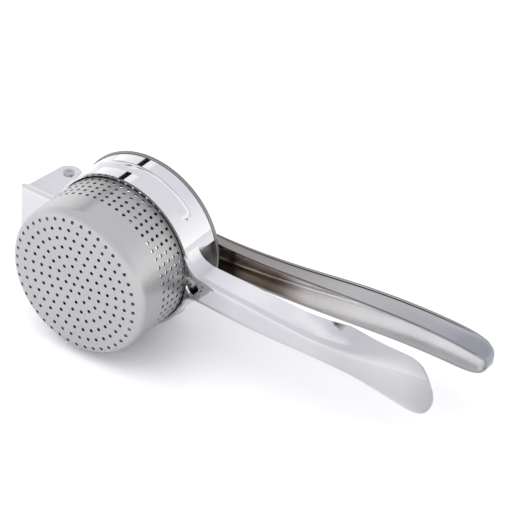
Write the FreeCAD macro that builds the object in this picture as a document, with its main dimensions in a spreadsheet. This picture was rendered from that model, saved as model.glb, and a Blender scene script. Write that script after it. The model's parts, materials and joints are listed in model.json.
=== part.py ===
import FreeCAD, Part
import math
import os

import Sketcher
from FreeCAD import Placement, Rotation, Vector

# A lever-action ricer lying on its side.
# Origin: centre of the basket's bottom face. +Y runs up the basket's axis to its open top,
# +X runs towards the tips of the two handles and +Z runs along the hinge rivet.
# Lengths are in millimetres, angles in degrees.

doc = FreeCAD.newDocument("ricer")
sheet = doc.addObject("Spreadsheet::Sheet", "sheet")

DIMENSIONS = {
    # basket
    "basket_radius": 42.9,
    "basket_wall": 1.0,
    "shoulder_radius": 6.0,
    "flange_radius": 45.9,
    "flange_bottom": 64.1,
    "flange_thick": 2.0,
    "hole_radius": 1.0,
    "ring_pitch": 5.45,
    "hole_rings": 7,
    "bottom_turn": 8.0,
    "side_columns": 56,
    "side_rows": 7,
    "side_first_row": 20.3,
    "side_row_pitch": 4.1,
    "side_turn": 5.0,
    # lower frame: ring, yoke and handle folded from one sheet
    "sheet_thick": 1.4,
    "ring_radius": 45.0,
    "ring_front": 39.7,
    "ring_back": 63.8,
    "bead_radius": 6.0,
    "bead_height": 1.6,
    "bead_start": 45.5,
    "bead_sweep": 74.5,
    "bead_level": 51.6,
    "yoke_half": 14.0,
    "yoke_web": 37.0,
    "yoke_nose": 66.0,
    "yoke_shoulder": 62.8,
    "yoke_fold": 3.0,
    "ear_radius": 7.2,
    "notch_radius": 5.5,
    "notch_centre": 48.0,
    "frame_tip": 197.4,
    "paddle_half": 16.8,
    "paddle_round": 24.0,
    # hinge between the frame and the lever
    "hinge_back": 53.0,
    "hinge_level": 62.4,
    "rivet_radius": 2.0,
    "head_radius": 3.1,
    "head_height": 0.8,
    "dimple_radius": 1.3,
    "dimple_depth": 0.4,
    "pin_gap": 0.05,
    "side_gap": 0.1,
    "spacer_radius": 4.5,
    "sleeve_radius": 3.2,
    # upper lever
    "lever_tip": 201.0,
    "lever_half": 10.5,
    "lever_ear_radius": 6.4,
    "lever_rim": 67.0,
    "lever_neck": 46.5,
    # plunger
    "pivot_back": 7.0,
    "pivot_level": 70.6,
    "leg_half": 6.2,
    "leg_thick": 1.2,
    "leg_front": 3.4,
    "leg_back": 10.6,
    "leg_round": 3.3,
    "foot_reach": 17.0,
    "foot_rivet": 12.5,
    "foot_rivet_radius": 1.4,
    "foot_head_radius": 2.6,
    "disc_radius": 35.5,
    "disc_thick": 1.2,
    "disc_bottom": 2.6,
    "disc_lip": 3.6,
    "disc_bend": 1.6,
}
for row, (alias, value) in enumerate(DIMENSIONS.items(), start=1):
    sheet.set(f"A{row}", alias)
    sheet.set(f"B{row}", str(value))
    sheet.setAlias(f"B{row}", alias)
doc.recompute()


# ---------------------------------------------------------------- helpers
def dim(alias):
    """Read one driving dimension."""
    return float(sheet.get(alias))


def cell(expression):
    """Turn an expression of aliases into one that names the sheet."""
    return " ".join("sheet." + word if word in DIMENSIONS else word for word in expression.split())


def bind(obj, **expressions):
    """Bind an object's properties to cells of the sheet; two underscores stand for a dot."""
    for name, expression in expressions.items():
        obj.setExpression(name.replace("__", "."), cell(expression))


def place(obj, x, y, z):
    """Bind where an object stands."""
    bind(obj, Placement__Base__x=x, Placement__Base__y=y, Placement__Base__z=z)


def outline_sketch(body, name, corners):
    """Draw a closed outline on the body's XY plane; its corners are pairs of expressions."""
    sketch = body.newObject("Sketcher::SketchObject", name)
    plane = next(item for item in body.Origin.OriginFeatures if item.Role == "XY_Plane")
    sketch.AttachmentSupport = [(plane, "")]
    sketch.MapMode = "FlatFace"
    values = [[float(sheet.evalExpression(cell(part))) for part in corner] for corner in corners]
    count = len(corners)
    for index in range(count):
        start = Vector(*values[index], 0)
        end = Vector(*values[(index + 1) % count], 0)
        sketch.addGeometry(Part.LineSegment(start, end), False)
    for index in range(count):
        sketch.addConstraint(Sketcher.Constraint("Coincident", index, 2, (index + 1) % count, 1))
    axes = (("DistanceX", "u", -2), ("DistanceY", "v", -1))
    for index, corner in enumerate(corners):
        for column, (kind, letter, axis_line) in enumerate(axes):
            if corner[column] == "0":
                sketch.addConstraint(Sketcher.Constraint("PointOnObject", index, 1, axis_line))
                continue
            number = sketch.addConstraint(
                Sketcher.Constraint(kind, -1, 1, index, 1, values[index][column])
            )
            label = f"{letter}{index}"
            sketch.renameConstraint(number, label)
            sketch.setExpression(f"Constraints.{label}", cell(corner[column]))
    return sketch


def turned_body(name, corners):
    """Start a body and revolve a closed outline a full turn about its Y axis."""
    body = doc.addObject("PartDesign::Body", name)
    doc.recompute()
    sketch = outline_sketch(body, name + "_outline", corners)
    feature = body.newObject("PartDesign::Revolution", name + "_turned")
    feature.Profile = sketch
    feature.ReferenceAxis = (sketch, ["V_Axis"])
    feature.Angle = 360.0
    doc.recompute()
    return body


def round_edges(body, name, radius, wanted):
    """Fillet the edges of a body's last feature that a test picks out."""
    base = body.Tip
    edges = [f"Edge{i}" for i, edge in enumerate(base.Shape.Edges, start=1) if wanted(edge)]
    feature = body.newObject("PartDesign::Fillet", name)
    feature.Base = (base, edges)
    bind(feature, Radius=radius)
    doc.recompute()
    return feature


def is_circle(edge, radius, level):
    """Tell whether an edge is a circle of a radius at a level along Y."""
    curve = edge.Curve
    if not isinstance(curve, Part.Circle):
        return False
    return abs(curve.Radius - radius) < 0.02 and abs(curve.Center.y - level) < 0.02


def cylinder(name, radius, height, x, y, z):
    """Add a Part cylinder along Z, its sizes and its place bound to the sheet."""
    tube = doc.addObject("Part::Cylinder", name)
    bind(tube, Radius=radius, Height=height)
    place(tube, x, y, z)
    return tube


def box(name, corner, size):
    """Add a Part box from its lowest corner and its three lengths, as expressions."""
    block = doc.addObject("Part::Box", name)
    bind(block, Length=size[0], Width=size[1], Height=size[2])
    place(block, *corner)
    return block


def fused(name, *parts):
    """Join parts into one."""
    feature = doc.addObject("Part::MultiFuse", name)
    feature.Shapes = list(parts)
    feature.Refine = True
    return feature


def group(name, *parts):
    """Keep identical pieces as separate solids of one node."""
    feature = doc.addObject("Part::Compound", name)
    feature.Links = list(parts)
    return feature


def cut(name, base, tool):
    """Cut one part out of another."""
    feature = doc.addObject("Part::Cut", name)
    feature.Base = base
    feature.Tool = tool
    return feature


def computed(name, shape):
    """Add a shape that is worked out in code."""
    feature = doc.addObject("Part::Feature", name)
    feature.Shape = shape
    return feature


# ---------------------------------------------------------------- basket
basket_cup = turned_body(
    "basket_cup",
    [
        ("0", "0"),
        ("basket_radius", "0"),
        ("basket_radius", "flange_bottom"),
        ("flange_radius", "flange_bottom"),
        ("flange_radius", "flange_bottom + flange_thick"),
        ("basket_radius - basket_wall", "flange_bottom + flange_thick"),
        ("basket_radius - basket_wall", "basket_wall"),
        ("0", "basket_wall"),
    ],
)
INNER_RADIUS = dim("basket_radius") - dim("basket_wall")
FLANGE_TOP = dim("flange_bottom") + dim("flange_thick")
round_edges(basket_cup, "outer_shoulder", "shoulder_radius",
            lambda edge: is_circle(edge, dim("basket_radius"), 0.0))
round_edges(basket_cup, "inner_shoulder", "shoulder_radius - basket_wall",
            lambda edge: is_circle(edge, INNER_RADIUS, dim("basket_wall")))
round_edges(basket_cup, "rim_round", "flange_thick * 0.45",
            lambda edge: is_circle(edge, dim("flange_radius"), dim("flange_bottom"))
            or is_circle(edge, dim("flange_radius"), FLANGE_TOP))


def hole_tools():
    """Make a plug for every hole: rings in the bottom and level rows round the side."""
    radius = dim("hole_radius")
    wall = dim("basket_wall")
    reach = 3 * wall
    up = Vector(0, 1, 0)
    plugs = [Part.makeCylinder(radius, reach, Vector(0, -wall, 0), up)]
    for ring in range(1, int(dim("hole_rings")) + 1):
        distance = ring * dim("ring_pitch")
        for index in range(6 * ring):
            angle = math.radians(dim("bottom_turn") + 360.0 * index / (6 * ring))
            foot = Vector(distance * math.cos(angle), -wall, distance * math.sin(angle))
            plugs.append(Part.makeCylinder(radius, reach, foot, up))
    columns = int(dim("side_columns"))
    start = dim("basket_radius") - 2 * wall
    for row in range(int(dim("side_rows"))):
        level = Vector(0, dim("side_first_row") + row * dim("side_row_pitch"), 0)
        for index in range(columns):
            angle = math.radians(dim("side_turn") + 360.0 * index / columns)
            outward = Vector(math.cos(angle), 0, math.sin(angle))
            plugs.append(Part.makeCylinder(radius, reach, level + outward * start, outward))
    return Part.makeCompound(plugs)


basket = cut("basket", basket_cup, computed("basket_holes", hole_tools()))


# ---------------------------------------------------------------- folded channels
def smooth(stations, x):
    """Interpolate every column of a list of stations at x, with no overshoot."""
    index = max(i for i in range(len(stations) - 1) if i == 0 or stations[i][0] <= x)
    width = stations[index + 1][0] - stations[index][0]
    share = (x - stations[index][0]) / width

    def slope(i, column):
        """Give the slope at a station: the harmonic mean of the two beside it."""
        beside = []
        for first, second in ((i - 1, i), (i, i + 1)):
            if first >= 0 and second < len(stations):
                rise = stations[second][column] - stations[first][column]
                beside.append(rise / (stations[second][0] - stations[first][0]))
        if len(beside) == 1:
            return beside[0]
        product = beside[0] * beside[1]
        return 2 * product / (beside[0] + beside[1]) if product > 0 else 0.0

    values = []
    for column in range(1, len(stations[0])):
        near, far = stations[index][column], stations[index + 1][column]
        values.append(
            near * (1 + 2 * share) * (1 - share) ** 2
            + far * share * share * (3 - 2 * share)
            + width * slope(index, column) * share * (1 - share) ** 2
            - width * slope(index + 1, column) * share * share * (1 - share)
        )
    return (x, *values)


def channel_wire(x, size, thick, extra):
    """Close a channel's outline at one station: web, two round folds, two walls and the open side.

    The inside of the sheet is its outline moved inwards by the thickness, with its lips carried on.
    """
    half, rim, floor, web_half, radius = size
    rise = 1 if rim > floor else -1
    depth = abs(rim - floor)
    length = math.hypot(half - web_half, depth)
    lean, climb = (half - web_half) / length, depth / length
    step = thick * (1 - lean) / climb
    corner = web_half - thick * climb + lean * step
    lip = corner + lean * (depth + extra - thick) / climb
    bend = math.acos(lean)
    reach = (radius - thick) * math.tan(bend / 2)
    middle = (corner - reach + (radius - thick) * math.sin(bend / 2),
              radius - (radius - thick) * math.cos(bend / 2))
    half_outline = [(corner - reach, thick), middle, (corner + reach * lean, thick + reach * climb),
                    (lip, depth + extra)]
    right = [Vector(x, floor + rise * up, across) for across, up in half_outline]
    left = [Vector(point.x, point.y, -point.z) for point in right]
    return Part.Wire([
        Part.makeLine(left[0], right[0]),
        Part.Arc(right[0], right[1], right[2]).toShape(),
        Part.makeLine(right[2], right[3]),
        Part.makeLine(right[3], left[3]),
        Part.makeLine(left[3], left[2]),
        Part.Arc(left[2], left[1], left[0]).toShape(),
    ])


def channel_solid(stations, thick=0.0, extra=0.0):
    """Loft a channel's block through its stations, or its hollow where thick is given."""
    wires = [channel_wire(station[0], station[1:], thick, extra) for station in stations]
    return Part.makeLoft(wires, True, False)


def prism_across(edges, half):
    """Extrude a closed outline in X and Y along Z, to both sides of the middle."""
    face = Part.Face(Part.Wire(edges))
    return face.extrude(Vector(0, 0, 2 * half)).translated(Vector(0, 0, -half))


def polyline(points):
    """Join points in X and Y with straight edges."""
    corners = [Vector(x, y, 0) for x, y in points]
    return [Part.makeLine(first, second) for first, second in zip(corners, corners[1:])]


THICK = dim("sheet_thick")
PIN = Vector(-dim("hinge_back"), dim("hinge_level"), 0)
LIP_CLEARANCE = 8.0

# ---------------------------------------------------------------- lower frame
# Stations of the lower handle: x, half width at the lips, level of the lips, level of the web,
# half width at the web, outer radius of the folds.
HANDLE = [
    (41.0, 18.0, 63.8, 39.7, 18.0, 3.0),
    (44.5, 12.4, 62.7, 38.4, 12.4, 3.0),
    (48.0, 9.8, 61.0, 37.0, 9.8, 3.0),
    (54.0, 8.3, 59.2, 36.0, 8.3, 3.0),
    (85.0, 7.9, 57.0, 34.2, 7.9, 3.0),
    (108.0, 7.4, 56.6, 33.7, 7.1, 3.0),
    (125.0, 9.0, 53.6, 33.8, 6.4, 3.4),
    (145.0, 12.4, 48.2, 34.6, 6.9, 6.0),
    (165.0, 15.6, 43.2, 35.4, 8.5, 15.0),
    (180.0, 16.8, 42.0, 35.8, 9.0, 23.0),
    (200.0, 16.8, 41.2, 36.6, 9.5, 25.0),
]
HANDLE_SECTIONS = [41.0, 42.5, 44.5, 46.5, 49.0, 52.0, 56.0, 62.0, 70.0] + list(range(80, 201, 10))


def paddle_end():
    """Give the block whose rounded end the handle's tip is trimmed to."""
    tip = dim("frame_tip")
    half = dim("paddle_half") + 1.0
    length = dim("paddle_round")
    start = tip - length
    end = Part.Ellipse(Vector(tip, 0, 0), Vector(start, half, 0), Vector(start, 0, 0))
    arc = Part.Arc(end, -math.pi / 2, math.pi / 2).toShape()
    lines = polyline([(start, half), (start, half + 20), (30.0, half + 20), (30.0, -half - 20),
                      (start, -half - 20), (start, -half)])
    block = prism_across([arc] + lines, 50.0)
    block.rotate(Vector(0, 0, 0), Vector(1, 0, 0), 90)
    return block


def yoke_blank(inner):
    """Make the yoke's block, or its hollow, with the folds rounded."""
    thick = THICK if inner else 0.0
    half = dim("yoke_half") - thick
    floor = dim("yoke_web") + thick
    back = dim("yoke_nose") + (10.0 if inner else 0.0)
    block = Part.makeBox(back, 40.0, 2 * half, Vector(-back, floor, -half))
    folds = [edge for edge in block.Edges
             if abs(edge.BoundBox.YMax - floor) < 0.01 and edge.BoundBox.XLength > 1]
    return block.makeFillet(dim("yoke_fold") - thick, folds)


def yoke_side():
    """Give the yoke's side outline: web, nose, sloping end and the ear round the rivet."""
    ear = dim("ear_radius")
    nose = -dim("yoke_nose")
    web = dim("yoke_web")
    back = dim("ring_back")
    slope = math.radians(8)
    fall = math.radians(60)
    left = PIN + Vector(-ear * math.cos(slope), ear * math.sin(slope), 0)
    right = PIN + Vector(ear * math.sin(fall), ear * math.cos(fall), 0)
    edges = polyline([(-30.0, web), (nose + 1.0, web), (nose, web + 1.0), (nose, web + 2.0),
                      (-dim("yoke_shoulder"), web + dim("yoke_fold") + 0.8), (left.x, left.y)])
    edges.append(Part.Arc(left, PIN + Vector(0, ear, 0), right).toShape())
    edges += polyline([(right.x, right.y), (-44.5, back), (-30.0, back), (-30.0, web)])
    return prism_across(edges, 20.0)


def bead():
    """Make the raised bead on the ring's upper side, with round ends."""
    middle = dim("ring_radius") + dim("bead_height") - dim("bead_radius")
    centre = Vector(0, dim("bead_level"), 0)
    ends = []
    for angle in (dim("bead_start"), dim("bead_start") + dim("bead_sweep")):
        turn = math.radians(angle)
        ends.append(Vector(middle * math.cos(turn), 0, middle * math.sin(turn)))
    across = ends[0].cross(Vector(0, 1, 0))
    section = Part.Face(Part.Wire([Part.makeCircle(dim("bead_radius"), centre + ends[0], across)]))
    rib = section.revolve(centre, Vector(0, -1, 0), dim("bead_sweep"))
    return rib.multiFuse([Part.makeSphere(dim("bead_radius"), centre + end) for end in ends])


def lower_frame_shape():
    """Make the ring, the yoke and the lower handle as one folded sheet."""
    up = Vector(0, 1, 0)
    height = dim("ring_back") - dim("ring_front")
    ring = Part.makeCylinder(dim("ring_radius"), height, Vector(0, dim("ring_front"), 0), up)
    stations = [smooth(HANDLE, x) for x in HANDLE_SECTIONS]
    handle = channel_solid(stations).common(paddle_end())
    yoke = yoke_blank(False).common(yoke_side())
    upper_bead = bead()
    lower_bead = upper_bead.mirror(Vector(0, 0, 0), Vector(0, 0, 1))
    whole = ring.multiFuse([yoke, handle, upper_bead, lower_bead])
    core = Part.makeCylinder(dim("ring_radius") - THICK - 0.1, 80.0, Vector(0, 0, 0), up)
    handle_hollow = channel_solid(stations, THICK, LIP_CLEARANCE)
    notch = Part.makeCylinder(dim("notch_radius"), 20.0, Vector(dim("notch_centre"), 28.0, 0), up)
    hole = Part.makeCylinder(dim("rivet_radius"), 40.0, PIN - Vector(0, 0, 20), Vector(0, 0, 1))
    return whole.cut([core, yoke_blank(True), handle_hollow, notch, hole])


lower_frame = computed("lower_frame", lower_frame_shape())

# ---------------------------------------------------------------- upper lever
# Stations of the lever: x, half width at the lips, level of the lips, level of the back,
# half width at the back, outer radius of the folds.
LEVER = [
    (-62.0, 10.5, 55.0, 69.6, 10.5, 3.0),
    (-40.0, 10.5, 58.6, 72.7, 10.5, 3.0),
    (-18.0, 10.5, 63.0, 75.0, 10.5, 3.0),
    (4.0, 10.5, 66.6, 76.0, 10.5, 3.0),
    (42.0, 8.6, 67.0, 76.4, 8.4, 3.4),
    (66.0, 8.3, 67.6, 79.2, 7.9, 3.8),
    (90.0, 8.3, 69.8, 83.0, 7.6, 4.2),
    (120.0, 8.3, 73.0, 90.6, 7.2, 5.0),
    (150.0, 7.7, 76.4, 94.9, 6.6, 5.5),
    (175.0, 7.1, 77.6, 95.6, 6.2, 5.5),
    (192.0, 6.8, 76.6, 94.2, 6.0, 5.0),
    (201.0, 6.4, 75.6, 91.8, 5.8, 5.0),
]
NOSE_LENGTH = 9.0


def nose_block(tip, half):
    """Give the block, round-ended as seen along Y, that closes the lever's nose."""
    start = tip - NOSE_LENGTH
    end = Part.Ellipse(Vector(tip, 0, 0), Vector(start, half, 0), Vector(start, 0, 0))
    arc = Part.Arc(end, -math.pi / 2, math.pi / 2).toShape()
    lines = polyline([(start, half), (start, 30.0), (-80.0, 30.0), (-80.0, -30.0),
                      (start, -30.0), (start, -half)])
    block = prism_across([arc] + lines, 130.0)
    block.rotate(Vector(0, 0, 0), Vector(1, 0, 0), 90)
    return block


def nose_side(tip, fall):
    """Give the side outline that rounds the nose off from its back to its tip."""
    corner = 7.0 - fall
    top = 94.4 - fall
    arc = Part.Arc(Vector(tip - corner, top, 0),
                   Vector(tip - corner * (1 - math.sqrt(0.5)), top - corner * (1 - math.sqrt(0.5)), 0),
                   Vector(tip, top - corner, 0)).toShape()
    lines = polyline([(tip, top - corner), (tip, 40.0), (-80.0, 40.0), (-80.0, top), (tip - corner, top)])
    return prism_across([arc] + lines, 30.0)


def lever_side():
    """Give the side outline of the lever's ears and of its rim over the basket, as wide as the lever."""
    ear = dim("lever_ear_radius")
    rim = dim("lever_rim")
    neck = -dim("lever_neck")
    rise = math.radians(20)
    bottom = PIN + Vector(ear * math.cos(rise), -ear * math.sin(rise), 0)
    left = PIN + Vector(-ear, 0, 0)
    arc = Part.Arc(left, PIN + Vector(0, -ear, 0), bottom).toShape()
    lines = polyline([(bottom.x, bottom.y), (neck + 2.0, rim), (56.0, rim), (80.0, 60.0), (220.0, 60.0),
                      (220.0, 110.0), (left.x, 110.0), (left.x, left.y)])
    return prism_across([arc] + lines, dim("lever_half"))


def upper_lever_shape():
    """Make the lever as a channel that opens towards the basket, closed at its nose."""
    tip = dim("lever_tip")
    block = channel_solid(LEVER)
    block = block.common(nose_block(tip, 7.2)).common(nose_side(tip, 0.0))
    hollow = channel_solid(LEVER, THICK, LIP_CLEARANCE)
    hollow = hollow.common(nose_block(tip - THICK, 7.2 - THICK)).common(nose_side(tip - THICK, THICK))
    lever = block.cut(hollow).common(lever_side())
    pivot = Vector(-dim("pivot_back"), dim("pivot_level"), -20)
    along = Vector(0, 0, 1)
    hinge_hole = Part.makeCylinder(dim("rivet_radius") + dim("pin_gap"), 40.0, PIN - along * 20, along)
    pivot_hole = Part.makeCylinder(dim("rivet_radius"), 40.0, pivot, along)
    return lever.cut([hinge_hole, pivot_hole])


upper_lever = computed("upper_lever", upper_lever_shape())


# ---------------------------------------------------------------- rivets, sleeves and spacers
def rivet(name, half, x, y):
    """Make a tubular rivet along Z: a shank with a flat head, dimpled in the middle, at each end."""
    top = f"{half} + head_height"
    body = turned_body(
        name,
        [
            ("0", f"dimple_depth - head_height - {half}"),
            ("dimple_radius", f"dimple_depth - head_height - {half}"),
            ("dimple_radius", f"0 - head_height - {half}"),
            ("head_radius", f"0 - head_height - {half}"),
            ("head_radius", f"0 - {half}"),
            ("rivet_radius", f"0 - {half}"),
            ("rivet_radius", half),
            ("head_radius", half),
            ("head_radius", top),
            ("dimple_radius", top),
            ("dimple_radius", f"{top} - dimple_depth"),
            ("0", f"{top} - dimple_depth"),
        ],
    )
    body.Placement = Placement(Vector(0, 0, 0), Rotation(Vector(1, 0, 0), 90))
    place(body, x, y, "0")
    return body


def tube(name, outer, length, x, y, z):
    """Make a sleeve or a washer that turns on a rivet."""
    solid = cylinder(name + "_blank", outer, length, x, y, z)
    bore = cylinder(name + "_bore", "rivet_radius + pin_gap", length, x, y, z)
    return cut(name, solid, bore)


hinge_rivet = rivet("hinge_rivet", "yoke_half", "0 - hinge_back", "hinge_level")
hinge_sleeve = tube("hinge_sleeve", "sleeve_radius", "2 * lever_half - 2 * sheet_thick - 2 * side_gap",
                    "0 - hinge_back", "hinge_level", "sheet_thick + side_gap - lever_half")
SPACER = "yoke_half - sheet_thick - lever_half - 2 * side_gap"
hinge_spacers = group(
    "hinge_spacers",
    tube("hinge_spacer_upper", "spacer_radius", SPACER, "0 - hinge_back", "hinge_level",
         "lever_half + side_gap"),
    tube("hinge_spacer_lower", "spacer_radius", SPACER, "0 - hinge_back", "hinge_level",
         "side_gap + sheet_thick - yoke_half"),
)
plunger_rivet = rivet("plunger_rivet", "lever_half", "0 - pivot_back", "pivot_level")
plunger_sleeve = tube("plunger_sleeve", "sleeve_radius - side_gap",
                      "2 * leg_half - 2 * leg_thick - 2 * side_gap",
                      "0 - pivot_back", "pivot_level", "leg_thick + side_gap - leg_half")
WASHER = "lever_half - sheet_thick - leg_half - 2 * side_gap"
plunger_spacers = group(
    "plunger_spacers",
    tube("plunger_spacer_upper", "leg_round - side_gap", WASHER, "0 - pivot_back", "pivot_level",
         "leg_half + side_gap"),
    tube("plunger_spacer_lower", "leg_round - side_gap", WASHER, "0 - pivot_back", "pivot_level",
         "side_gap + sheet_thick - lever_half"),
)

# ---------------------------------------------------------------- plunger
DISC_TOP = "disc_bottom + disc_thick"
LEG_LENGTH = "pivot_level - disc_bottom - disc_thick"


def leg(side, z):
    """Make one flat leg of the bracket, round at the pivot, with its foot turned outwards."""
    plate = box(f"leg_plate_{side}", ("0 - leg_back", DISC_TOP, z),
                ("leg_back - leg_front", LEG_LENGTH, "leg_thick"))
    end = cylinder(f"leg_end_{side}", "leg_round", "leg_thick", "0 - pivot_back", "pivot_level", z)
    foot_z = "leg_half - leg_thick" if side == "upper" else "0 - foot_reach"
    foot = box(f"leg_foot_{side}", ("0 - leg_back", DISC_TOP, foot_z),
               ("leg_back - leg_front", "leg_thick", "foot_reach - leg_half + leg_thick"))
    return [plate, end, foot]


stiffener = box("bracket_back", ("0 - leg_back", f"{DISC_TOP} + 10", "0 - leg_half"),
                ("leg_thick", f"{LEG_LENGTH} - 20", "2 * leg_half"))
bracket_parts = leg("upper", "leg_half - leg_thick") + leg("lower", "0 - leg_half") + [stiffener]
bracket_bores = [cylinder("bracket_pivot_bore", "rivet_radius + pin_gap", "4 * leg_half",
                          "0 - pivot_back", "pivot_level", "0 - 2 * leg_half")]
for side, z in (("upper", "foot_rivet"), ("lower", "0 - foot_rivet")):
    bore = cylinder(f"foot_bore_{side}", "foot_rivet_radius", "10 * disc_thick",
                    "0 - pivot_back", "disc_bottom", z)
    bore.Placement = Placement(Vector(0, 0, 0), Rotation(Vector(1, 0, 0), -90))
    place(bore, "0 - pivot_back", "0 - disc_bottom", z)
    bracket_bores.append(bore)
plunger_bracket = cut("plunger_bracket", fused("bracket_blank", *bracket_parts),
                      fused("bracket_bores", *bracket_bores))

disc_blank = turned_body(
    "disc_blank",
    [
        ("0", "disc_bottom"),
        ("disc_radius", "disc_bottom"),
        ("disc_radius", "disc_bottom + disc_lip"),
        ("disc_radius - disc_thick", "disc_bottom + disc_lip"),
        ("disc_radius - disc_thick", DISC_TOP),
        ("0", DISC_TOP),
    ],
)
round_edges(disc_blank, "disc_outer_bend", "disc_bend + disc_thick",
            lambda edge: is_circle(edge, dim("disc_radius"), dim("disc_bottom")))
round_edges(disc_blank, "disc_inner_bend", "disc_bend",
            lambda edge: is_circle(edge, dim("disc_radius") - dim("disc_thick"),
                                   dim("disc_bottom") + dim("disc_thick")))
presser_disc = cut("presser_disc", disc_blank, fused("disc_bores", *bracket_bores[1:]))


def foot_rivet(side, z):
    """Make one rivet that holds a foot of the bracket to the disc."""
    body = turned_body(
        f"foot_rivet_{side}",
        [
            ("0", "disc_bottom"),
            ("foot_rivet_radius", "disc_bottom"),
            ("foot_rivet_radius", f"{DISC_TOP} + leg_thick"),
            ("foot_head_radius", f"{DISC_TOP} + leg_thick"),
            ("foot_head_radius", f"{DISC_TOP} + leg_thick + head_height"),
            ("0", f"{DISC_TOP} + leg_thick + head_height"),
        ],
    )
    place(body, "0 - pivot_back", "0", z)
    return body


disc_rivets = group("disc_rivets", foot_rivet("upper", "foot_rivet"), foot_rivet("lower", "0 - foot_rivet"))

# ---------------------------------------------------------------- labels, checks and files
NODES = {
    "lower_frame": lower_frame,
    "hinge_rivet": hinge_rivet,
    "hinge_spacers": hinge_spacers,
    "basket": basket,
    "upper_lever": upper_lever,
    "hinge_sleeve": hinge_sleeve,
    "plunger_rivet": plunger_rivet,
    "plunger_spacers": plunger_spacers,
    "plunger_sleeve": plunger_sleeve,
    "plunger_bracket": plunger_bracket,
    "presser_disc": presser_disc,
    "disc_rivets": disc_rivets,
}

doc.recompute()
for name, feature in NODES.items():
    feature.Label = name
for item in doc.Objects:
    if "Invalid" in item.State or "Error" in item.State:
        raise RuntimeError(f"{item.Name} is {item.State}")
for name, feature in NODES.items():
    if feature.Shape.isNull() or not feature.Shape.isValid() or not feature.Shape.Solids:
        raise RuntimeError(f"{name} has no valid shape")

os.makedirs("parts", exist_ok=True)
for name, feature in NODES.items():
    feature.Shape.exportStep(os.path.join("parts", name + ".step"))
    size = feature.Shape.BoundBox
    print(f"{name}: {len(feature.Shape.Solids)} solid(s), {feature.Shape.Volume:.0f} mm3, "
          f"x {size.XMin:.1f}..{size.XMax:.1f} y {size.YMin:.1f}..{size.YMax:.1f} "
          f"z {size.ZMin:.1f}..{size.ZMax:.1f}")
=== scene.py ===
import json
import logging
import math
from collections.abc import Callable
from dataclasses import dataclass
from enum import Enum

import bmesh
import bpy
from mathutils import Matrix, Vector


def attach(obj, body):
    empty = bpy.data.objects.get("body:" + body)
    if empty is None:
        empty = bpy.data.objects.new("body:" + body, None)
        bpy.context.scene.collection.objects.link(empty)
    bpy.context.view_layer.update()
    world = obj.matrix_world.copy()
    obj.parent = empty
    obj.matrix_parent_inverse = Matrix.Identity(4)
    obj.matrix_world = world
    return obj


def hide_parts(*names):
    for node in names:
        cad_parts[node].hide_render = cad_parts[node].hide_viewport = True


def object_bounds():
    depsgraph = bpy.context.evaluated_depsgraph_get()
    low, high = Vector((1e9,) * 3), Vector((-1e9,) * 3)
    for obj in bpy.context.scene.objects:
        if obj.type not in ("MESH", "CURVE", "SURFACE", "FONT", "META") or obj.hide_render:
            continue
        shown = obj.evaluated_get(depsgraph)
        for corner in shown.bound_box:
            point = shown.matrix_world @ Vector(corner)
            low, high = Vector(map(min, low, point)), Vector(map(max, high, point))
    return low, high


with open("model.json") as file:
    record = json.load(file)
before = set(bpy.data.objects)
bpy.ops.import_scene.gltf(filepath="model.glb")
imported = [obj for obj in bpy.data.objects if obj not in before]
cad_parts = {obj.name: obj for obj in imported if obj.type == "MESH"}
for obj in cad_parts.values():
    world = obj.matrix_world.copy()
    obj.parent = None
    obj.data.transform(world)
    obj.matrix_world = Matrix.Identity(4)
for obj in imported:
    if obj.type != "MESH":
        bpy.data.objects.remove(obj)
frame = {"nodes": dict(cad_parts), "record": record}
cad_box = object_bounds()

logger = logging.getLogger("ricer")

# How near to a plane, in metres, a point counts as lying on it.
TINY = 0.00002


class Way(Enum):
    """The axis along which the painted reflections and painted shade on a piece's steel change."""

    ALONG = "X"
    DEEP = "Y"


@dataclass(frozen=True)
class PaintedShading:
    """A stop of painted reflection and painted shade: the tone that multiplies a piece's steel at a
    place along an axis.
    """

    place: float
    tone: tuple[float, float, float]


@dataclass(frozen=True)
class Grain:
    """The fine marks of finishing: how often they come along X and across it, and how high they are."""

    along: float
    across: float
    height: float
    detail: float = 3.0


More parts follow.
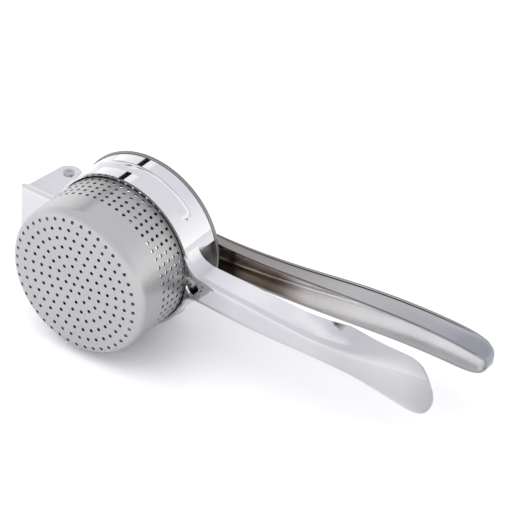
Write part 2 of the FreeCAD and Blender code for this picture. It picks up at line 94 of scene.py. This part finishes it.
@dataclass(frozen=True)
class Steel:
    """Bare stainless steel: its tone, how sharply it reflects, the marks of its finishing, and the
    painted reflections and painted shade laid over its tone.
    """

    name: str
    tone: tuple[float, float, float]
    roughness: float
    rough_swing: float
    grain: Grain
    painted_shading: tuple[PaintedShading, ...] = ()
    way: Way = Way.ALONG
    cloud_scale: float = 28.0
    cloud_detail: float = 2.0
    cloud_tone: float = 0.88

    def material(self) -> bpy.types.Material:
        """Make the node material.

        Returns:
            The material, which reads Object coordinates.
        """
        material = bpy.data.materials.new(self.name)
        material.use_nodes = True
        nodes = material.node_tree.nodes
        links = material.node_tree.links
        shader = nodes["Principled BSDF"]
        shader.inputs["Metallic"].default_value = 1.0
        where = nodes.new("ShaderNodeTexCoord")
        stretch = nodes.new("ShaderNodeMapping")
        stretch.inputs["Scale"].default_value = (self.grain.along, self.grain.across, self.grain.across)
        links.new(where.outputs["Object"], stretch.inputs["Vector"])
        grain = nodes.new("ShaderNodeTexNoise")
        grain.inputs["Scale"].default_value = 1.0
        grain.inputs["Detail"].default_value = self.grain.detail
        links.new(stretch.outputs["Vector"], grain.inputs["Vector"])
        cloud = nodes.new("ShaderNodeTexNoise")
        cloud.inputs["Scale"].default_value = self.cloud_scale
        cloud.inputs["Detail"].default_value = self.cloud_detail
        links.new(where.outputs["Object"], cloud.inputs["Vector"])
        tone = nodes.new("ShaderNodeMix")
        tone.data_type = "RGBA"
        tone.inputs[6].default_value = (*[channel * self.cloud_tone for channel in self.tone], 1.0)
        tone.inputs[7].default_value = (*self.tone, 1.0)
        links.new(cloud.outputs["Fac"], tone.inputs[0])
        colour = tone.outputs[2]
        # Painted reflections and painted shade multiply the colour along one axis.
        if self.painted_shading:
            colour = self._paint_shading(material.node_tree, where.outputs["Object"], colour)
        links.new(colour, shader.inputs["Base Color"])
        rough = nodes.new("ShaderNodeMapRange")
        rough.inputs["To Min"].default_value = max(self.roughness - self.rough_swing, 0.0)
        rough.inputs["To Max"].default_value = self.roughness + self.rough_swing
        links.new(grain.outputs["Fac"], rough.inputs["Value"])
        links.new(rough.outputs["Result"], shader.inputs["Roughness"])
        bump = nodes.new("ShaderNodeBump")
        bump.inputs["Strength"].default_value = 1.0
        bump.inputs["Distance"].default_value = self.grain.height
        links.new(grain.outputs["Fac"], bump.inputs["Height"])
        links.new(bump.outputs["Normal"], shader.inputs["Normal"])
        return material

    def _paint_shading(self, tree: bpy.types.NodeTree, where: bpy.types.NodeSocket,
                colour: bpy.types.NodeSocket) -> bpy.types.NodeSocket:
        """Multiply the steel's colour by the painted reflections and painted shade along their axis.

        Args:
            tree: The material's node tree.
            where: The socket with the Object coordinates.
            colour: The colour so far.

        Returns:
            The socket with the tinted colour.
        """
        first, last = self.painted_shading[0].place, self.painted_shading[-1].place
        split = tree.nodes.new("ShaderNodeSeparateXYZ")
        tree.links.new(where, split.inputs["Vector"])
        share = tree.nodes.new("ShaderNodeMapRange")
        share.inputs["From Min"].default_value = first
        share.inputs["From Max"].default_value = last
        tree.links.new(split.outputs[self.way.value], share.inputs["Value"])
        ramp = tree.nodes.new("ShaderNodeValToRGB")
        stops = ramp.color_ramp.elements
        for shading_stop in self.painted_shading[1:-1]:
            stops.new((shading_stop.place - first) / (last - first))
        for stop, shading_stop in zip(stops, self.painted_shading):
            stop.color = (*shading_stop.tone, 1.0)
        tree.links.new(share.outputs["Result"], ramp.inputs["Fac"])
        product = tree.nodes.new("ShaderNodeMix")
        product.data_type = "RGBA"
        product.blend_type = "MULTIPLY"
        product.inputs[0].default_value = 1.0
        tree.links.new(colour, product.inputs[6])
        tree.links.new(ramp.outputs["Color"], product.inputs[7])
        return product.outputs[2]


# Each of these multiplies the tone with painted light: the dark ones on the frame and the lever are
# painted reflections of dark things that the steel would mirror, and the dark ones on the basket are
# painted shade under the ring and at the flange.
FINISHES = {
    "polished_frame": Steel(
        "polished_frame_steel", tone=(0.66, 0.655, 0.665), roughness=0.06, rough_swing=0.045,
        grain=Grain(along=45.0, across=700.0, height=0.0000035),
        # Painted reflections: darker where the ring is mirrored beside it, along the handle's middle
        # and at the paddle's tip.
        painted_shading=(
            PaintedShading(-0.070, (1.0, 1.0, 1.0)),
            PaintedShading(0.044, (1.0, 1.0, 1.0)),
            PaintedShading(0.054, (0.76, 0.76, 0.77)),
            PaintedShading(0.078, (0.93, 0.93, 0.94)),
            PaintedShading(0.125, (0.90, 0.90, 0.90)),
            PaintedShading(0.145, (0.80, 0.80, 0.80)),
            PaintedShading(0.165, (0.86, 0.86, 0.86)),
            PaintedShading(0.180, (0.82, 0.82, 0.82)),
            PaintedShading(0.198, (0.60, 0.60, 0.61)),
        ),
    ),
    "polished_lever": Steel(
        "polished_lever_steel", tone=(0.64, 0.635, 0.64), roughness=0.06, rough_swing=0.03,
        grain=Grain(along=120.0, across=900.0, height=0.000002),
        # Painted reflections: the outer side darker and browner from the hinge end out, darkest near
        # the ring.
        painted_shading=(
            PaintedShading(-0.050, (0.9, 0.9, 0.9)),
            PaintedShading(0.045, (0.32, 0.30, 0.28)),
            PaintedShading(0.085, (0.42, 0.40, 0.385)),
            PaintedShading(0.120, (0.56, 0.55, 0.54)),
            PaintedShading(0.180, (0.50, 0.51, 0.53)),
            PaintedShading(0.200, (0.44, 0.46, 0.48)),
        ),
    ),
    "satin_basket": Steel(
        "satin_basket_steel", tone=(0.47, 0.47, 0.468), roughness=0.30, rough_swing=0.06,
        grain=Grain(along=500.0, across=500.0, height=0.00001),
        # Painted shade along the basket's depth: a dark band in the shaded gap under the ring's edge,
        # and another at the flange beside the ring.
        painted_shading=(
            PaintedShading(0.0, (1.0, 1.0, 1.0)),
            PaintedShading(0.020, (1.0, 0.995, 0.99)),
            PaintedShading(0.032, (0.82, 0.81, 0.80)),
            PaintedShading(0.0385, (0.46, 0.45, 0.44)),
            PaintedShading(0.043, (0.84, 0.84, 0.84)),
            PaintedShading(0.063, (0.84, 0.84, 0.84)),
            PaintedShading(0.0647, (0.46, 0.46, 0.47)),
            PaintedShading(0.0661, (0.50, 0.50, 0.51)),
        ),
        way=Way.DEEP,
    ),
    "plunger_steel": Steel(
        "plunger_satin_steel", tone=(0.42, 0.42, 0.42), roughness=0.34, rough_swing=0.06,
        grain=Grain(along=400.0, across=400.0, height=0.00001),
    ),
    "rivet_steel": Steel(
        "rivet_bright_steel", tone=(0.58, 0.58, 0.58), roughness=0.18, rough_swing=0.05,
        grain=Grain(along=900.0, across=900.0, height=0.000005),
    ),
}

# The inside of the lever's channel, painted with light: its tone, far brighter than the outside's, is a
# painted reflection of the pale floor, and its darker stops put painted shade, dark and brown, in the
# channel near the ring.
LEVER_INSIDE = Steel(
    "lever_inner_steel", tone=(0.98, 0.978, 0.975), roughness=0.22, rough_swing=0.05,
    grain=Grain(along=60.0, across=500.0, height=0.000006),
    painted_shading=(
        PaintedShading(0.030, (0.42, 0.36, 0.31)),
        PaintedShading(0.074, (0.44, 0.38, 0.34)),
        PaintedShading(0.090, (0.90, 0.885, 0.87)),
        PaintedShading(0.140, (1.0, 1.0, 1.0)),
        PaintedShading(0.200, (1.0, 1.0, 1.0)),
    ),
)


def dress(node: str, material: bpy.types.Material) -> None:
    """Give a CAD node its material.

    Args:
        node: The node's name.
        material: The material for all of it.
    """
    obj = frame["nodes"][node]
    obj.data.materials.clear()
    obj.data.materials.append(material)
    logger.info("%s wears %s", node, material.name)


def joint_place(name: str) -> tuple[float, float, float]:
    """Look up where a joint turns.

    Args:
        name: The joint's name in the record.

    Returns:
        Its place at rest.
    """
    joints = {joint["name"]: joint for joint in frame["record"]["behaviour"]["joints"]}
    return tuple(joints[name]["pos_m"])


# ---------------------------------------------------------------- bench tools
def choose(obj: bpy.types.Object) -> None:
    """Make an object the only selected one, and the active one.

    Args:
        obj: The object to work on.
    """
    bpy.ops.object.select_all(action="DESELECT")
    obj.select_set(True)
    bpy.context.view_layer.objects.active = obj


def start_editing(obj: bpy.types.Object) -> None:
    """Enter edit mode on one object, with nothing selected in it.

    Args:
        obj: The object to edit.
    """
    choose(obj)
    bpy.ops.object.mode_set(mode="EDIT")
    bpy.ops.mesh.select_all(action="DESELECT")


def stop_editing() -> None:
    """Leave edit mode."""
    bpy.ops.object.mode_set(mode="OBJECT")


def pick_corners(obj: bpy.types.Object, test: Callable[[Vector], bool]) -> None:
    """Select just the vertices that pass a test.

    Args:
        obj: The object in edit mode.
        test: Tells from a vertex's place whether it is wanted.
    """
    bpy.ops.mesh.select_mode(type="VERT")
    bpy.ops.mesh.select_all(action="DESELECT")
    mesh = bmesh.from_edit_mesh(obj.data)
    for vertex in mesh.verts:
        if test(vertex.co):
            vertex.select_set(True)
    mesh.select_flush_mode()
    bmesh.update_edit_mesh(obj.data)


def pick_edges(obj: bpy.types.Object, test: Callable[[Vector, Vector], bool]) -> None:
    """Select just the edges that pass a test.

    Args:
        obj: The object in edit mode.
        test: Tells from the places of an edge's two ends whether it is wanted.
    """
    bpy.ops.mesh.select_mode(type="EDGE")
    bpy.ops.mesh.select_all(action="DESELECT")
    mesh = bmesh.from_edit_mesh(obj.data)
    for edge in mesh.edges:
        edge.select_set(test(edge.verts[0].co, edge.verts[1].co))
    mesh.select_flush_mode()
    bmesh.update_edit_mesh(obj.data)


def pick_faces(obj: bpy.types.Object, test: Callable[[Vector], bool]) -> None:
    """Select just the faces that pass a test.

    Args:
        obj: The object in edit mode.
        test: Tells from the place of a face's middle whether it is wanted.
    """
    bpy.ops.mesh.select_mode(type="FACE")
    bpy.ops.mesh.select_all(action="DESELECT")
    mesh = bmesh.from_edit_mesh(obj.data)
    for face in mesh.faces:
        face.select_set(test(face.calc_center_median()))
    mesh.select_flush_mode()
    bmesh.update_edit_mesh(obj.data)


def slice_all(place: tuple[float, float, float], facing: tuple[float, float, float]) -> None:
    """Cut new edges through the whole mesh where a plane crosses it.

    Args:
        place: A point of the plane.
        facing: The plane's normal.
    """
    bpy.ops.mesh.select_all(action="SELECT")
    bpy.ops.mesh.bisect(plane_co=place, plane_no=facing)


def settle(obj: bpy.types.Object) -> None:
    """Put an object's place, turn and size into its mesh.

    Args:
        obj: The object to settle.
    """
    choose(obj)
    bpy.ops.object.transform_apply(location=True, rotation=True, scale=True)


def apply_modifiers(obj: bpy.types.Object) -> None:
    """Apply an object's modifiers in their order.

    Args:
        obj: The object whose modifiers become its mesh.
    """
    choose(obj)
    for name in [modifier.name for modifier in obj.modifiers]:
        bpy.ops.object.modifier_apply(modifier=name)


def bore(obj: bpy.types.Object, place: tuple[float, float, float], radius: float, depth: float) -> None:
    """Drill a round hole along Z.

    Args:
        obj: The piece to drill.
        place: The hole's middle.
        radius: The hole's radius.
        depth: The drill's length.
    """
    bpy.ops.object.select_all(action="DESELECT")
    bpy.ops.mesh.primitive_cylinder_add(vertices=48, radius=radius, depth=depth, location=place)
    drill = bpy.context.object
    settle(drill)
    modifier = obj.modifiers.new("bore", "BOOLEAN")
    modifier.operation = "DIFFERENCE"
    modifier.solver = "EXACT"
    modifier.object = drill
    apply_modifiers(obj)
    bpy.data.objects.remove(drill)


# ---------------------------------------------------------------- upper lever
@dataclass(frozen=True)
class Station:
    """A cross-section of a folded channel: its half width and the levels of its lips and back."""

    x: float
    half: float
    lip: float
    back: float


@dataclass
class UpperLever:
    """The hinged lever: a channel that opens towards the basket, with ears and a round nose."""

    stations: tuple[Station, ...] = (
        Station(-0.0593, 0.0105, 0.0618, 0.0703),
        Station(-0.0575, 0.0105, 0.0579, 0.0704),
        Station(-0.0550, 0.0105, 0.0563, 0.0706),
        Station(-0.0525, 0.0105, 0.0560, 0.0709),
        Station(-0.0500, 0.0105, 0.0568, 0.0713),
        Station(-0.0480, 0.0105, 0.0590, 0.0716),
        Station(-0.0467, 0.0105, 0.0625, 0.0718),
        Station(-0.0455, 0.0105, 0.0668, 0.0720),
        Station(-0.0430, 0.0105, 0.0670, 0.0723),
        Station(-0.0180, 0.0105, 0.0670, 0.0750),
        Station(0.0040, 0.0105, 0.0670, 0.0760),
        Station(0.0420, 0.0087, 0.0670, 0.0764),
        Station(0.0660, 0.0083, 0.0676, 0.0792),
        Station(0.0900, 0.0083, 0.0698, 0.0830),
        Station(0.1200, 0.0083, 0.0730, 0.0904),
        Station(0.1500, 0.0078, 0.0764, 0.0943),
        Station(0.1720, 0.0075, 0.0773, 0.0951),
        Station(0.1840, 0.0073, 0.0771, 0.0948),
        Station(0.1920, 0.0069, 0.0768, 0.0938),
        Station(0.1980, 0.0061, 0.0770, 0.0920),
        Station(0.2020, 0.0048, 0.0778, 0.0892),
        Station(0.2038, 0.0026, 0.0794, 0.0862),
    )
    sheet: float = 0.0014
    fold: float = 0.0036
    edge_round: float = 0.0003
    hole: float = 0.00205
    drill_length: float = 0.03
    side_cut: float = 0.3
    smooth_rounds: int = 3
    crease: float = math.radians(38)
    sharp: float = math.radians(60)

    def build(self, outside: bpy.types.Material, inside: bpy.types.Material) -> bpy.types.Object:
        """Model the lever.

        Args:
            outside: The polished finish of its outer side, with painted darker reflections.
            inside: The duller finish inside the channel, painted brighter as a reflection of the pale
                floor and darker with painted shade near the ring.

        Returns:
            The finished piece.
        """
        lever = self.blank()
        self.draw_out(lever)
        lever.data.materials.append(outside)
        lever.data.materials.append(inside)
        self.fold_sheet(lever)
        for joint in ("lever_hinge", "plunger_pivot"):
            bore(lever, joint_place(joint), self.hole, self.drill_length)
        bpy.ops.object.shade_smooth_by_angle(angle=self.crease)
        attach(lever, "lever")
        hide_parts("upper_lever")
        logger.info("%s has %d faces", lever.name, len(lever.data.polygons))
        return lever

    def blank(self) -> bpy.types.Object:
        """Make the straight channel: a box without its mouth and its hinge end, with rounded folds.

        Returns:
            The channel, with an edge loop at every station.
        """
        first, last = self.stations[0], self.stations[-1]
        middle = ((first.x + last.x) / 2, (first.lip + first.back) / 2, 0.0)
        bpy.ops.object.select_all(action="DESELECT")
        bpy.ops.mesh.primitive_cube_add(size=1.0, location=middle)
        lever = bpy.context.object
        lever.name = "lever_channel"
        lever.scale = (last.x - first.x, self.depth, 2 * first.half)
        settle(lever)
        start_editing(lever)
        pick_faces(lever, lambda face: face.y < first.lip + TINY or face.x < first.x + TINY)
        bpy.ops.mesh.delete(type="FACE")
        pick_edges(lever, lambda one, two: min(one.y, two.y) > first.back - TINY
                   and abs(one.z - two.z) < TINY)
        bpy.ops.mesh.bevel(offset=self.fold, segments=3, profile=0.5, affect="EDGES")
        for station in self.stations[1:-1]:
            slice_all((station.x, 0.0, 0.0), (1.0, 0.0, 0.0))
        slice_all((0.0, 0.0, 0.0), (0.0, 0.0, 1.0))
        slice_all((0.0, first.lip + self.depth * self.side_cut, 0.0), (0.0, 1.0, 0.0))
        stop_editing()
        return lever

    @property
    def depth(self) -> float:
        """The straight channel's depth."""
        return self.stations[0].back - self.stations[0].lip

    def draw_out(self, lever: bpy.types.Object) -> None:
        """Bring every cross-section to its own width and levels.

        Args:
            lever: The straight channel.
        """
        first = self.stations[0]
        start_editing(lever)
        for station in self.stations:
            pick_corners(lever, lambda corner: abs(corner.x - station.x) < TINY)
            tall = (station.back - station.lip) / self.depth
            bpy.ops.transform.resize(value=(1.0, tall, station.half / first.half),
                                     center_override=(station.x, first.lip, 0.0))
            bpy.ops.transform.translate(value=(0.0, station.lip - first.lip, 0.0))
        stop_editing()

    def fold_sheet(self, lever: bpy.types.Object) -> None:
        """Smooth the skin, give it the sheet's thickness inwards and round its edges.

        Args:
            lever: The drawn-out channel, still without thickness.
        """
        smooth = lever.modifiers.new("smooth", "SUBSURF")
        smooth.levels = self.smooth_rounds
        smooth.render_levels = self.smooth_rounds
        wall = lever.modifiers.new("wall", "SOLIDIFY")
        wall.thickness = self.sheet
        wall.offset = -1.0
        wall.use_even_offset = True
        wall.material_offset = 1
        edge = lever.modifiers.new("edge", "BEVEL")
        edge.width = self.edge_round
        edge.segments = 2
        edge.limit_method = "ANGLE"
        edge.angle_limit = self.sharp
        apply_modifiers(lever)


# ---------------------------------------------------------------- studio
@dataclass(frozen=True)
class Strip:
    """A strip of the tent with a tone of its own: part of the band along a great circle.

    across is the circle's axis, and half_width is half of the band's width. The strip stops where
    the cosine to centre falls to reach, fades in over fade more, and is whole inside core times
    its width. depth is its strength.
    """

    across: tuple[float, float, float]
    centre: tuple[float, float, float]
    half_width: float
    reach: float
    depth: float = 1.0
    tone: tuple[float, float, float] = (0.004, 0.004, 0.005)
    fade: float = 0.02
    core: float = 0.7

    def lay(self, tree: bpy.types.NodeTree, way: bpy.types.NodeSocket,
            colour: bpy.types.NodeSocket) -> bpy.types.NodeSocket:
        """Lay the strip over the world's colour.

        Args:
            tree: The world's node tree.
            way: The socket with the direction that is looked in.
            colour: The colour so far.

        Returns:
            The socket with the strip in the colour.
        """
        beside = self._dot(tree, way, self.across)
        size = self._maths(tree, "ABSOLUTE", beside)
        inside = self._edge(tree, size, self.half_width, self.half_width * self.core)
        near = self._dot(tree, way, self.centre)
        close = self._edge(tree, near, self.reach, self.reach + self.fade)
        share = self._maths(tree, "MULTIPLY", inside, close)
        mix = tree.nodes.new("ShaderNodeMix")
        mix.data_type = "RGBA"
        scaled = self._maths(tree, "MULTIPLY", share, self.depth)
        tree.links.new(scaled, mix.inputs[0])
        tree.links.new(colour, mix.inputs[6])
        mix.inputs[7].default_value = (*self.tone, 1.0)
        return mix.outputs[2]

    @staticmethod
    def _dot(tree: bpy.types.NodeTree, way: bpy.types.NodeSocket,
             vector: tuple[float, float, float]) -> bpy.types.NodeSocket:
        """Measure how far a direction lies along a vector.

        Args:
            tree: The world's node tree.
            way: The socket with the direction.
            vector: The vector, of any length.

        Returns:
            The socket with the cosine between them.
        """
        node = tree.nodes.new("ShaderNodeVectorMath")
        node.operation = "DOT_PRODUCT"
        node.inputs[1].default_value = Vector(vector).normalized()
        tree.links.new(way, node.inputs[0])
        return node.outputs["Value"]

    @staticmethod
    def _maths(tree: bpy.types.NodeTree, operation: str, first: bpy.types.NodeSocket,
               second: bpy.types.NodeSocket | float | None = None) -> bpy.types.NodeSocket:
        """Apply a maths node to one or two values.

        Args:
            tree: The world's node tree.
            operation: The node's operation.
            first: The socket with the first value.
            second: The second value or its socket, where the operation has one.

        Returns:
            The socket with the result.
        """
        node = tree.nodes.new("ShaderNodeMath")
        node.operation = operation
        tree.links.new(first, node.inputs[0])
        if isinstance(second, float):
            node.inputs[1].default_value = second
        elif second is not None:
            tree.links.new(second, node.inputs[1])
        return node.outputs["Value"]

    @staticmethod
    def _edge(tree: bpy.types.NodeTree, value: bpy.types.NodeSocket, outside: float,
              inside: float) -> bpy.types.NodeSocket:
        """Ramp from 0 outside to 1 inside.

        Args:
            tree: The world's node tree.
            value: The socket with the value to judge.
            outside: The value that gives 0.
            inside: The value that gives 1.

        Returns:
            The socket with the share.
        """
        node = tree.nodes.new("ShaderNodeMapRange")
        node.inputs["From Min"].default_value = outside
        node.inputs["From Max"].default_value = inside
        tree.links.new(value, node.inputs["Value"])
        return node.outputs["Result"]


@dataclass(frozen=True)
class Softbox:
    """A large soft light that points at the ricer and lights the floor, but shows in no mirror."""

    name: str
    place: tuple[float, float, float]
    size: float
    power: float
    target: tuple[float, float, float] = (0.06, 0.04, 0.0)

    def hang(self) -> None:
        """Hang the light, turned to the ricer's middle."""
        data = bpy.data.lights.new(self.name, "AREA")
        data.size = self.size
        data.energy = self.power
        light = bpy.data.objects.new(self.name, data)
        light.location = self.place
        aim = Vector(self.target) - Vector(self.place)
        light.rotation_euler = aim.to_track_quat("-Z", "Y").to_euler()
        light.visible_glossy = False
        bpy.context.scene.collection.objects.link(light)


@dataclass
class Studio:
    """The pale floor, the soft lights, the surroundings that the steel mirrors, and the camera."""

    tent_strength: float = 1.55
    skirt: tuple[float, float, float] = (1.0, 1.0, 1.0)
    roof: tuple[float, float, float] = (0.70, 0.70, 0.75)
    roof_height: float = 0.62
    strips: tuple[Strip, ...] = (
        Strip(across=(-0.829, 0.0, -0.559), centre=(-0.43, 0.68, 0.60), half_width=0.085, reach=0.75,
              tone=(0.89, 0.89, 0.925), fade=0.12, core=0.2),
        Strip(across=(-0.695, 0.0, -0.719), centre=(-0.51, 0.681, 0.50), half_width=0.05, reach=0.915,
              fade=0.05),
        Strip(across=(0.0, 0.0, 1.0), centre=(-0.42, 0.90, 0.05), half_width=0.22, reach=0.93,
              depth=0.85, tone=(0.22, 0.20, 0.18)),
    )
    softboxes: tuple[Softbox, ...] = (
        Softbox("key", place=(-0.5, -0.6, 1.5), size=1.6, power=12.0),
    )
    azimuth: float = math.radians(32.76)
    elevation: float = math.radians(35.94)
    roll: float = math.radians(4.16)
    distance: float = 1.5
    aim_right: float = 0.09316
    aim_up: float = 0.02159
    lens: float = 202.9
    sensor: float = 36.0
    near: float = 0.05
    far: float = 20.0
    floor_size: float = 6.0
    floor_middle: tuple[float, float] = (0.07, 0.04)
    floor_drop: float = 0.0002
    floor_roughness: float = 0.9
    floor_grain: float = 40.0
    floor_tones: tuple[float, float] = (0.93, 0.96)

    def build(self) -> None:
        """Build the whole studio."""
        self.floor()
        self.surroundings()
        self.lights()
        self.camera()

    def floor(self) -> None:
        """Lay the floor under the ricer's lowest point."""
        level = cad_box[0][2] - self.floor_drop
        bpy.ops.mesh.primitive_plane_add(size=self.floor_size, location=(*self.floor_middle, level))
        floor = bpy.context.object
        floor.name = "studio_floor"
        material = bpy.data.materials.new("floor_paper")
        material.use_nodes = True
        nodes = material.node_tree.nodes
        links = material.node_tree.links
        shader = nodes["Principled BSDF"]
        shader.inputs["Roughness"].default_value = self.floor_roughness
        noise = nodes.new("ShaderNodeTexNoise")
        noise.inputs["Scale"].default_value = self.floor_grain
        ramp = nodes.new("ShaderNodeValToRGB")
        for stop, tone in zip(ramp.color_ramp.elements, self.floor_tones):
            stop.color = (tone, tone, tone, 1.0)
        links.new(noise.outputs["Fac"], ramp.inputs["Fac"])
        links.new(ramp.outputs["Color"], shader.inputs["Base Color"])
        floor.data.materials.append(material)

    def surroundings(self) -> None:
        """Make the world: a white tent with a greyer roof and the strips that the steel mirrors."""
        world = bpy.data.worlds.new("tent")
        bpy.context.scene.world = world
        world.use_nodes = True
        nodes = world.node_tree.nodes
        links = world.node_tree.links
        background = nodes["Background"]
        background.inputs["Strength"].default_value = self.tent_strength
        way = nodes.new("ShaderNodeTexCoord")
        height = nodes.new("ShaderNodeSeparateXYZ")
        links.new(way.outputs["Generated"], height.inputs["Vector"])
        roof = nodes.new("ShaderNodeValToRGB")
        roof.color_ramp.elements[0].position = 0.0
        roof.color_ramp.elements[0].color = (*self.skirt, 1.0)
        roof.color_ramp.elements[1].position = self.roof_height
        roof.color_ramp.elements[1].color = (*self.roof, 1.0)
        links.new(height.outputs["Z"], roof.inputs["Fac"])
        colour = roof.outputs["Color"]
        for strip in self.strips:
            colour = strip.lay(world.node_tree, way.outputs["Generated"], colour)
        links.new(colour, background.inputs["Color"])

    def lights(self) -> None:
        """Hang the soft lights."""
        for light in self.softboxes:
            light.hang()

    def camera(self) -> None:
        """Set the camera at its viewing angle, with the small roll of the view."""
        right = Vector((math.cos(self.azimuth), math.sin(self.azimuth), 0.0))
        back = Vector((math.sin(self.azimuth) * math.cos(self.elevation),
                       -math.cos(self.azimuth) * math.cos(self.elevation),
                       math.sin(self.elevation)))
        up = back.cross(right)
        target = right * self.aim_right + up * self.aim_up
        across = right * math.cos(self.roll) + up * math.sin(self.roll)
        rise = up * math.cos(self.roll) - right * math.sin(self.roll)
        data = bpy.data.cameras.new("view")
        data.lens = self.lens
        data.sensor_width = self.sensor
        data.clip_start = self.near
        data.clip_end = self.far
        camera = bpy.data.objects.new("view", data)
        turn = Matrix((across, rise, back)).transposed().to_4x4()
        camera.matrix_world = Matrix.Translation(target + back * self.distance) @ turn
        bpy.context.scene.collection.objects.link(camera)
        bpy.context.scene.camera = camera


def main() -> None:
    """Dress the ricer, model its upper lever and build the studio around it."""
    logging.basicConfig(level=logging.INFO)
    materials = {slot: steel.material() for slot, steel in FINISHES.items()}
    for row in frame["record"]["subparts"]:
        dress(row["node"], materials[row["material_slot"]])
    UpperLever().build(materials["polished_lever"], LEVER_INSIDE.material())
    Studio().build()
    bpy.context.scene.view_settings.view_transform = "Standard"


if __name__ == "__main__":
    main()
